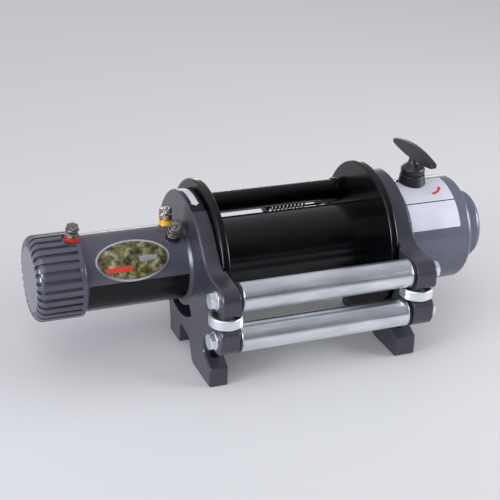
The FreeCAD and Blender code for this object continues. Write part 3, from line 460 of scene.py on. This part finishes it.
def deletePiece(piece):
    onlySelected(piece)
    bpy.ops.object.delete()


def newPiece(name):
    # the primitive just added
    piece = bpy.context.object
    piece.name = name
    return piece


def pick(piece, kind, wanted):
    # selects faces by their middle and normal, edges by their ends, or points by their place
    onlySelected(piece)
    bpy.ops.object.mode_set(mode="EDIT")
    bpy.ops.mesh.select_mode(type=kind)
    bpy.ops.mesh.select_all(action="DESELECT")
    bpy.ops.object.mode_set(mode="OBJECT")
    mesh = piece.data
    if kind == "FACE":
        for face in mesh.polygons:
            face.select = wanted(face.center, face.normal)
    elif kind == "EDGE":
        for edge in mesh.edges:
            ends = [mesh.vertices[i].co for i in edge.vertices]
            edge.select = wanted(*ends)
    else:
        for point in mesh.vertices:
            point.select = wanted(point.co)
    bpy.ops.object.mode_set(mode="EDIT")


def anyFace(centre, normal):
    return True


def applyModifier(piece, kind, **settings):
    onlySelected(piece)
    modifier = piece.modifiers.new(kind.lower(), kind)
    for key, value in settings.items():
        setattr(modifier, key, value)
    bpy.ops.object.modifier_apply(modifier=modifier.name)


def applyPlace(piece):
    onlySelected(piece)
    bpy.ops.object.transform_apply(location=True, rotation=True, scale=True)


def finishPiece(piece, body, slotName, *materials, smoothAngle=35):
    applyPlace(piece)
    bpy.ops.object.shade_smooth_by_angle(angle=math.radians(smoothAngle))
    piece.data.name = piece.name
    for material in materials:
        piece.data.materials.append(material)
    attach(piece, body)
    nothingSelected()


def copyPiece(piece, name):
    onlySelected(piece)
    bpy.ops.object.duplicate(linked=False)
    return newPiece(name)


def joinPieces(name, *pieces):
    onlySelected(*pieces)
    bpy.ops.object.join()
    return newPiece(name)


def alongAxis(x, radius, degrees):
    # a point round the drum axis, the angle from straight up towards the front
    turn = math.radians(degrees)
    return Vector((x, drumAxis.y - radius * math.sin(turn), drumAxis.z + radius * math.cos(turn)))


rollerBush = {
    "radius": 0.02085,
    "bore": 0.0088,
    "length": 0.0042,
    "standOut": 0.0006,  # how far it reaches past the end of the roller
    "edge": 0.0007,
    "lipWidth": 0.0035,
    "lipSlope": 0.0004,
    "lipSink": 0.0006,
    "rimFrom": 0.995,    # an edge past this share of the radius is on the rim
    "sides": 80,
}


def buildRollerBushes():
    # black nylon bush flange that closes each end of the two long rollers; its black also stands in as
    # painted shade for the gap between the roller's end and the casting
    size = rollerBush
    low, high = corners("upper_roller")
    centre = (low + high) / 2
    end = high.x + size["standOut"]
    spot = Vector((end - size["length"] / 2, centre.y, centre.z))
    bpy.ops.mesh.primitive_cylinder_add(vertices=size["sides"], radius=size["radius"],
                                        depth=size["length"], location=spot,
                                        rotation=(0, math.radians(90), 0))
    bush = newPiece("upperRollerGearBush")
    applyPlace(bush)
    pick(bush, "FACE", lambda centre, normal: abs(normal.x) > facing)
    bpy.ops.mesh.inset(thickness=size["lipWidth"])
    bpy.ops.mesh.inset(thickness=size["lipSlope"], depth=-size["lipSink"])
    bpy.ops.mesh.inset(thickness=size["radius"] - size["lipWidth"] - size["lipSlope"] - size["bore"])
    bpy.ops.mesh.bridge_edge_loops()
    rim = size["radius"] * size["rimFrom"]

    def onRim(a, b):
        outward = min(math.hypot(point.y - centre.y, point.z - centre.z) for point in (a, b))
        return outward > rim and abs(a.x - b.x) < touching

    pick(bush, "EDGE", onRim)
    bpy.ops.mesh.bevel(offset=size["edge"], segments=3)
    nothingSelected()
    drop = middle("lower_roller") - middle("upper_roller")
    across = Vector((-2 * spot.x, 0, 0))
    for name, body, shift in (
            ("upperRollerMotorBush", "upper_roller", across),
            ("lowerRollerGearBush", "lower_roller", drop),
            ("lowerRollerMotorBush", "lower_roller", drop + across)):
        copy = copyPiece(bush, name)
        copy.location = shift
        finishPiece(copy, body, "insulator_black", bushBlackAndGapShade)
    finishPiece(bush, "upper_roller", "insulator_black", bushBlackAndGapShade)


# painted shade: the bushes' black also stands for the shade in the gap at each roller's end
bushBlackAndGapShade = sprayedPaint(
    "bushBlackAndGapShade", (0.004, 0.004, 0.005), (0.008, 0.008, 0.009), 0.45, 0.0, 0.20, 0.0005)
buildRollerBushes()
print("roller bushes made")


ringSides = 72

guideSeal = {
    "outer": 0.0176,
    "inner": 0.0112,
    "thick": 0.0016,
    "edge": 0.0004,
    "dishDepth": 0.0050,
    "hubOuter": 0.0109,
    "hubInner": 0.0073,
    "hubThick": 0.0009,
    "hubEdge": 0.0003,
    "hubRise": 0.0001,
}


def ringAt(name, spot, outer, inner, thick, edge):
    # flat ring with soft edges, centred on its spot
    bpy.ops.mesh.primitive_cylinder_add(vertices=ringSides, radius=outer, depth=thick)
    ring = newPiece(name)
    pick(ring, "FACE", lambda centre, normal: abs(normal.z) > facing)
    bpy.ops.mesh.inset(thickness=outer - inner)
    bpy.ops.mesh.bridge_edge_loops()
    pick(ring, "EDGE", lambda a, b: abs(a.z - b.z) < touching and abs(a.xy.length - b.xy.length) < touching)
    bpy.ops.mesh.bevel(offset=edge, segments=2)
    nothingSelected()
    ring.location = spot
    return ring


def buildGuideSeals():
    # dark dust seal and bronze hub ring in the dish of each guide roller, above and below; the seal's olive
    # tint is a painted reflection, and its dark stands in for the shade in the dish
    size = guideSeal
    for word in ("motor", "gear"):
        roller = word + "_side_guide_roller"
        low, high = corners(roller)
        centre = (low + high) / 2
        for place, level, way in (("Top", high.z, 1), ("Bottom", low.z, -1)):
            dish = level - way * size["dishDepth"]
            seal = ringAt(word + "Guide" + place + "Seal",
                          (centre.x, centre.y, dish + way * size["thick"] / 2),
                          size["outer"], size["inner"], size["thick"], size["edge"])
            finishPiece(seal, roller, "insulator_black", sealShadeOliveReflection)
            hub = ringAt(word + "Guide" + place + "Hub",
                         (centre.x, centre.y, level + way * size["hubRise"]),
                         size["hubOuter"], size["hubInner"], size["hubThick"], size["hubEdge"])
            finishPiece(hub, roller, "bronze", finishes["bronze"])


# painted shade and reflection: dark olive for the shade and the olive reflection in the roller's dish
sealShadeOliveReflection = sprayedPaint(
    "sealShadeOliveReflection", (0.030, 0.027, 0.012), (0.060, 0.054, 0.024), 0.50, 0.0, 0.30, 0.0004)
buildGuideSeals()
print("guide roller seals made")


terminal = {
    "tipHeight": 0.0250,
    "tipLength": 0.0026,
    "tipExtra": 0.0002,      # the tip's radius past the thread's core
    "tipChamfer": 0.0007,
    "root": 0.0005,
    "threadEnd": 0.0014,     # the last turn's lower edge ends at least this far below the top
    "threadCore": 0.0034,
    "threadDepth": 0.0006,
    "pitch": 0.00125,
    "threadSides": 28,
    "washerRadius": 0.0096,
    "washerBore": 0.0036,
    "washerThick": 0.0016,
    "washerEdge": 0.0003,
    "nutCorner": 0.0090,
    "nutHeight": 0.0050,
    "nutChamfer": 0.0009,
    "nutTurnedSides": 60,
    "insulatorHeight": 0.0070,
    "lugSpace": 0.0035,
    "twist": 5,              # each stack turns on its own axis by this many times its lean
    # colour, seat out from the drum axis, lean to the front in degrees
    "studs": [
        ("red", 0.057, 9.0),
        ("yellow", 0.056, -8.0),
        ("black", 0.056, 27.0),
    ],
}


def threadedStud():
    # a bent line, one pitch high, is wound up into the thread and closed by a chamfered tip
    pitch = terminal["pitch"]
    turns = int((terminal["tipHeight"] - terminal["root"] - terminal["threadEnd"]) / pitch)
    crest = terminal["root"] + pitch / 2
    bpy.ops.mesh.primitive_plane_add(size=pitch, location=(0, 0, 0), rotation=(math.radians(90), 0, 0))
    thread = newPiece("studThread")
    applyPlace(thread)
    pick(thread, "VERT", lambda point: point.x < 0)
    bpy.ops.mesh.delete(type="VERT")
    bpy.ops.mesh.select_all(action="SELECT")
    bpy.ops.transform.translate(value=(terminal["threadCore"] - pitch / 2, 0, crest))
    bpy.ops.mesh.subdivide(number_cuts=1)
    pick(thread, "VERT", lambda point: abs(point.z - crest) < pitch / 8)
    bpy.ops.transform.translate(value=(terminal["threadDepth"], 0, 0))
    applyModifier(thread, "SCREW", angle=math.tau, screw_offset=pitch, iterations=turns,
                  steps=terminal["threadSides"], render_steps=terminal["threadSides"],
                  use_merge_vertices=True, use_normal_calculate=True, use_smooth_shade=False)
    bpy.ops.mesh.primitive_cylinder_add(
        vertices=terminal["threadSides"], radius=terminal["threadCore"] + terminal["tipExtra"],
        depth=terminal["tipLength"], location=(0, 0, terminal["tipHeight"] - terminal["tipLength"] / 2))
    tip = newPiece("studTip")
    applyPlace(tip)
    pick(tip, "FACE", lambda centre, normal: normal.z > facing)
    bpy.ops.mesh.bevel(offset=terminal["tipChamfer"], segments=2)
    return joinPieces("studThread", thread, tip)


def nutBlank(name, sides, level):
    height = terminal["nutHeight"]
    bpy.ops.mesh.primitive_cylinder_add(vertices=sides, radius=terminal["nutCorner"], depth=height,
                                        location=(0, 0, level + height / 2))
    blank = newPiece(name)
    applyPlace(blank)
    return blank


def hexNut(level):
    # a hexagon with its corners turned off
    nut = nutBlank("lugNut", 6, level)
    turned = nutBlank("chamferTool", terminal["nutTurnedSides"], level)
    pick(turned, "FACE", lambda centre, normal: abs(normal.z) > facing)
    bpy.ops.mesh.bevel(offset=terminal["nutChamfer"], segments=1)
    nothingSelected()
    applyModifier(nut, "BOOLEAN", operation="INTERSECT", object=turned, solver="EXACT")
    deletePiece(turned)
    return nut


def terminalStack():
    # threaded stud with two rows of washer and nut
    parts = [threadedStud()]
    for row in range(2):
        level = terminal["insulatorHeight"] + row * (
            terminal["washerThick"] + terminal["nutHeight"] + terminal["lugSpace"])
        parts.append(ringAt("lugWasher", (0, 0, level + terminal["washerThick"] / 2),
                            terminal["washerRadius"], terminal["washerBore"],
                            terminal["washerThick"], terminal["washerEdge"]))
        parts.append(hexNut(level + terminal["washerThick"]))
    for part in parts:
        applyPlace(part)
    return joinPieces("terminalStack", *parts)


def buildTerminals():
    # the stacks stand in place of the plain studs
    stack = terminalStack()
    for colour, seat, lean in terminal["studs"]:
        stud = copyPiece(stack, colour + "TerminalStack")
        tilt = Matrix.Rotation(math.radians(lean), 3, "X")
        twist = Matrix.Rotation(math.radians(terminal["twist"] * lean), 3, "Z")
        stud.rotation_euler = (tilt @ twist).to_euler()
        stud.location = alongAxis(middle(colour + "_terminal_insulator").x, seat, lean)
        finishPiece(stud, "frame", "terminal_steel", finishes["terminal_steel"], smoothAngle=30)
        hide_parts(colour + "_terminal_stud")
    deletePiece(stack)


buildTerminals()
print("terminals made")


labelSilver = platedSteel(
    "labelSilver", (0.52, 0.53, 0.57), (0.66, 0.67, 0.72), 0.34, 0.05, 0.0002, 1500.0)
labelWhite = sprayedPaint(
    "labelWhite", (0.62, 0.62, 0.66), (0.74, 0.74, 0.78), 0.40, 0.0, 0.05, 0.0002)
labelRed = sprayedPaint(
    "labelRed", (0.50, 0.015, 0.015), (0.62, 0.030, 0.028), 0.40, 0.0, 0.05, 0.0002)
labelBlack = sprayedPaint(
    "labelBlack", (0.0015, 0.0015, 0.0020), (0.0025, 0.0025, 0.0035), 0.22, 0.0, 0.02, 0.0002, 0.3)
panelSilver = sprayedPaint(
    "panelSilver", (0.50, 0.51, 0.57), (0.60, 0.61, 0.68), 0.34, 0.2, 0.05, 0.0002)

# the round surfaces that carry the labels
carrier = {
    "motor": 0.055,
    "gearbox": 0.0798,
    "casting": 0.1025,
}

wrap = {
    "plateThick": 0.0004,
    "topThick": 0.0005,      # of the tag, and of what lies on another plate
    "printThick": 0.00015,
    "lift": 0.0001,          # of what lies on another plate
    "slices": 44,
    "cornerSteps": 5,
    "standOff": 1.3,         # times the radius, before the label is pressed on
    "formerSides": 720,
    "formerLength": 0.5,
    "formerExtra": 0.0001,   # keeps the underside clear of the surface
    "smoothAngle": 25,
}


def sliceAcross(piece, half, count):
    # cuts lines across the flat label, so that it can follow the round surface
    for step in range(1, count):
        pick(piece, "FACE", anyFace)
        bpy.ops.mesh.bisect(plane_co=(0, -half + 2 * half * step / count, 0), plane_no=(0, 1, 0))
    nothingSelected()


def wrapRound(piece, radius, x, angle, thick):
    # lays the flat label on a cylinder round the drum axis and gives it its thickness
    piece.rotation_euler = (math.radians(angle), 0, 0)
    piece.location = alongAxis(x, radius * wrap["standOff"], angle)
    bpy.ops.mesh.primitive_cylinder_add(vertices=wrap["formerSides"], radius=radius + wrap["formerExtra"],
                                        depth=wrap["formerLength"], location=(x, drumAxis.y, drumAxis.z),
                                        rotation=(0, math.radians(90), 0))
    former = newPiece("labelFormer")
    applyModifier(piece, "SHRINKWRAP", target=former, wrap_method="PROJECT", use_project_z=True,
                  use_negative_direction=True, use_positive_direction=False)
    deletePiece(former)
    applyPlace(piece)
    applyModifier(piece, "SOLIDIFY", thickness=thick, offset=1.0)


def flatPlane(name, length, height):
    bpy.ops.mesh.primitive_plane_add(size=1)
    label = newPiece(name)
    label.scale = (length, height, 1)
    applyPlace(label)
    return label


nameplate = {
    "x": -0.244,
    "angle": 53.8,
    "halfLength": 0.053,
    "halfHeight": 0.0292,
    "rim": 0.0026,
    "sides": 96,
    "blotchSize": 95.0,
    "blotchDetail": 5.0,
    "blotchRoughness": 0.62,
    "shades": [
        (0.39, (0.012, 0.010, 0.008, 1)),
        (0.45, (0.075, 0.045, 0.020, 1)),
        (0.51, (0.085, 0.100, 0.025, 1)),
        (0.58, (0.20, 0.17, 0.085, 1)),
        (0.66, (0.34, 0.31, 0.24, 1)),
    ],
    "fieldRoughness": 0.31,
    "fieldCoat": 0.3,
}


def mottledField():
    # soft blotches of brown, olive and tan under a clear coat
    material, tree, shader = startMaterial("nameplateField")
    place = addNode(tree, "ShaderNodeTexCoord")
    blotch = addNode(tree, "ShaderNodeTexNoise", [("Vector", place, "Object")],
                     Scale=nameplate["blotchSize"], Detail=nameplate["blotchDetail"],
                     Roughness=nameplate["blotchRoughness"])
    shades = addNode(tree, "ShaderNodeValToRGB", [("Fac", blotch, "Fac")])
    elements = shades.color_ramp.elements
    first, *between, last = nameplate["shades"]
    for element, (spot, colour) in ((elements[0], first), (elements[1], last)):
        element.position = spot
        element.color = colour
    for spot, colour in between:
        elements.new(spot).color = colour
    tree.links.new(shades.outputs["Color"], shader.inputs["Base Color"])
    grain = placeGroup(tree, paintGrain)
    varyRoughness(tree, shader, grain, "Cloud", nameplate["fieldRoughness"], paintLook["roughnessDrift"])
    shader.inputs["Coat Weight"].default_value = nameplate["fieldCoat"]
    shader.inputs["Coat Roughness"].default_value = paintLook["coatRoughness"]
    return material


def buildNameplate():
    # oval plate with a bright rim and a bare field
    bpy.ops.mesh.primitive_circle_add(vertices=nameplate["sides"], radius=1, fill_type="NGON")
    oval = newPiece("motorNameplate")
    oval.scale = (nameplate["halfLength"], nameplate["halfHeight"], 1)
    applyPlace(oval)
    for material in (labelSilver, mottledField()):
        oval.data.materials.append(material)
    pick(oval, "FACE", anyFace)
    bpy.ops.mesh.inset(thickness=nameplate["rim"])
    onlySelected(oval)
    for face in oval.data.polygons:
        if face.select:
            face.material_index = 1
    sliceAcross(oval, nameplate["halfHeight"], wrap["slices"])
    wrapRound(oval, carrier["motor"], nameplate["x"], nameplate["angle"], wrap["plateThick"])
    finishPiece(oval, "frame", "motor_body", smoothAngle=wrap["smoothAngle"])


# angles are round the drum axis, from straight up towards the front
plainLabels = [
    {"name": "motorBand", "radius": carrier["motor"], "x": (-0.3085, -0.1600), "angles": (86, 130),
     "corner": 0.0012, "thick": wrap["plateThick"], "slot": "motor_body", "material": labelBlack},
    {"name": "gearboxPanel", "radius": carrier["gearbox"], "x": (0.178, 0.259), "angles": (-2, 67),
     "corner": 0.0022, "thick": wrap["plateThick"], "slot": "gearbox", "material": panelSilver},
    {"name": "nameplateBar", "radius": carrier["motor"] + wrap["lift"], "x": (-0.2830, -0.2460),
     "angles": (63.5, 70.0), "corner": 0.0008, "thick": wrap["topThick"], "slot": "insulator_red",
     "material": labelRed},
    {"name": "nameplateWindow", "radius": carrier["motor"] + wrap["lift"], "x": (-0.2340, -0.2090),
     "angles": (50.3, 57.6), "corner": 0.0010, "thick": wrap["topThick"], "slot": "motor_body",
     "material": labelSilver},
    {"name": "gearboxPanelDivider", "radius": carrier["gearbox"] + wrap["lift"], "x": (0.178, 0.259),
     "angles": (35.8, 36.8), "corner": 0.0003, "thick": wrap["topThick"], "slot": "gearbox",
     "material": labelBlack},
    {"name": "castingTag", "radius": carrier["casting"], "x": (-0.1585, -0.1375), "angles": (-11, 25),
     "corner": 0.0015, "thick": wrap["topThick"], "slot": "casting", "material": labelBlack},
]


def buildPlainLabel(name, radius, x, angles, corner, thick, slot, material):
    # bare plate with round corners on a round surface
    half = radius * math.sin(math.radians(abs(angles[1] - angles[0]) / 2))
    label = flatPlane(name, x[1] - x[0], 2 * half)
    pick(label, "VERT", lambda point: True)
    bpy.ops.mesh.bevel(offset=corner, segments=wrap["cornerSteps"], affect="VERTICES")
    nothingSelected()
    sliceAcross(label, half, wrap["slices"])
    wrapRound(label, radius, sum(x) / 2, sum(angles) / 2, thick)
    finishPiece(label, "frame", slot, material, smoothAngle=wrap["smoothAngle"])


directionArrow = {
    "x": -0.1490,
    "angle": 3,
    "width": 0.0095,
    "length": 0.046,
    "headWidth": 0.0135,
    "headLength": 0.0055,
    "shoulder": 0.0001,      # length over which the shaft widens to the head
    "slices": 40,
}


def buildArrow():
    # bare white arrow on the black tag over the crest of the motor side casting
    size = directionArrow
    arrow = flatPlane("directionArrow", size["width"], size["length"])
    foot = -size["length"] / 2
    pick(arrow, "EDGE", lambda a, b: max(a.y, b.y) < foot + touching)
    bpy.ops.mesh.extrude_region_move(TRANSFORM_OT_translate={"value": (0, -size["shoulder"], 0)})
    bpy.ops.transform.resize(value=(size["headWidth"] / size["width"], 1, 1))
    bpy.ops.mesh.extrude_region_move(TRANSFORM_OT_translate={"value": (0, -size["headLength"], 0)})
    bpy.ops.mesh.merge(type="CENTER")
    nothingSelected()
    sliceAcross(arrow, size["length"] / 2 + size["headLength"], size["slices"])
    wrapRound(arrow, carrier["casting"] + wrap["topThick"], size["x"], size["angle"], wrap["printThick"])
    finishPiece(arrow, "frame", "casting", labelWhite, smoothAngle=wrap["smoothAngle"])


turnArrow = {
    "x": 0.228,
    "angle": 32.5,
    "up": 0.027,
    "radius": 0.0175,
    "width": 0.0036,
    "start": -92,
    "sweep": 66,
    "steps": 16,
    "head": 0.0040,
    "mergeWithin": 0.00001,
}


def buildTurnArrow():
    # short red arc with a head that shows which way the clutch handle turns
    arc = turnArrow
    bpy.ops.mesh.primitive_plane_add(size=1)
    band = newPiece("clutchTurnArrow")
    pick(band, "VERT", lambda point: point.y > 0)
    bpy.ops.mesh.delete(type="VERT")
    bpy.ops.mesh.select_all(action="SELECT")
    bpy.ops.transform.resize(value=(arc["width"], 1, 1))
    # only the plane's lower edge is left, half a plane below the X axis
    bpy.ops.transform.translate(value=(arc["radius"], 0.5, 0))
    bpy.ops.transform.rotate(value=math.radians(-arc["start"]), orient_axis="Z", center_override=(0, 0, 0))
    bpy.ops.mesh.spin(steps=arc["steps"], angle=math.radians(-arc["sweep"]),
                      center=(0, 0, 0), axis=(0, 0, 1))
    nothingSelected()
    end = math.radians(arc["start"] + arc["sweep"])
    spot = (arc["radius"] * math.cos(end), arc["radius"] * math.sin(end), 0)
    bpy.ops.mesh.primitive_circle_add(vertices=3, radius=arc["head"], fill_type="NGON",
                                      location=spot, rotation=(0, 0, end))
    head = newPiece("turnArrowHead")
    applyPlace(head)
    band = joinPieces("clutchTurnArrow", band, head)
    band.location = (0, arc["up"], 0)
    applyPlace(band)
    bpy.ops.object.mode_set(mode="EDIT")
    bpy.ops.mesh.select_all(action="SELECT")
    bpy.ops.mesh.remove_doubles(threshold=arc["mergeWithin"])
    bpy.ops.mesh.normals_make_consistent(inside=False)
    nothingSelected()
    for face in band.data.polygons:
        if face.normal.z < 0:
            face.flip()
    wrapRound(band, carrier["gearbox"] + wrap["topThick"], arc["x"], arc["angle"], wrap["printThick"])
    finishPiece(band, "frame", "insulator_red", labelRed, smoothAngle=wrap["smoothAngle"])


buildNameplate()
for plain in plainLabels:
    buildPlainLabel(**plain)
buildArrow()
buildTurnArrow()
print("labels made")


print("all pieces done")
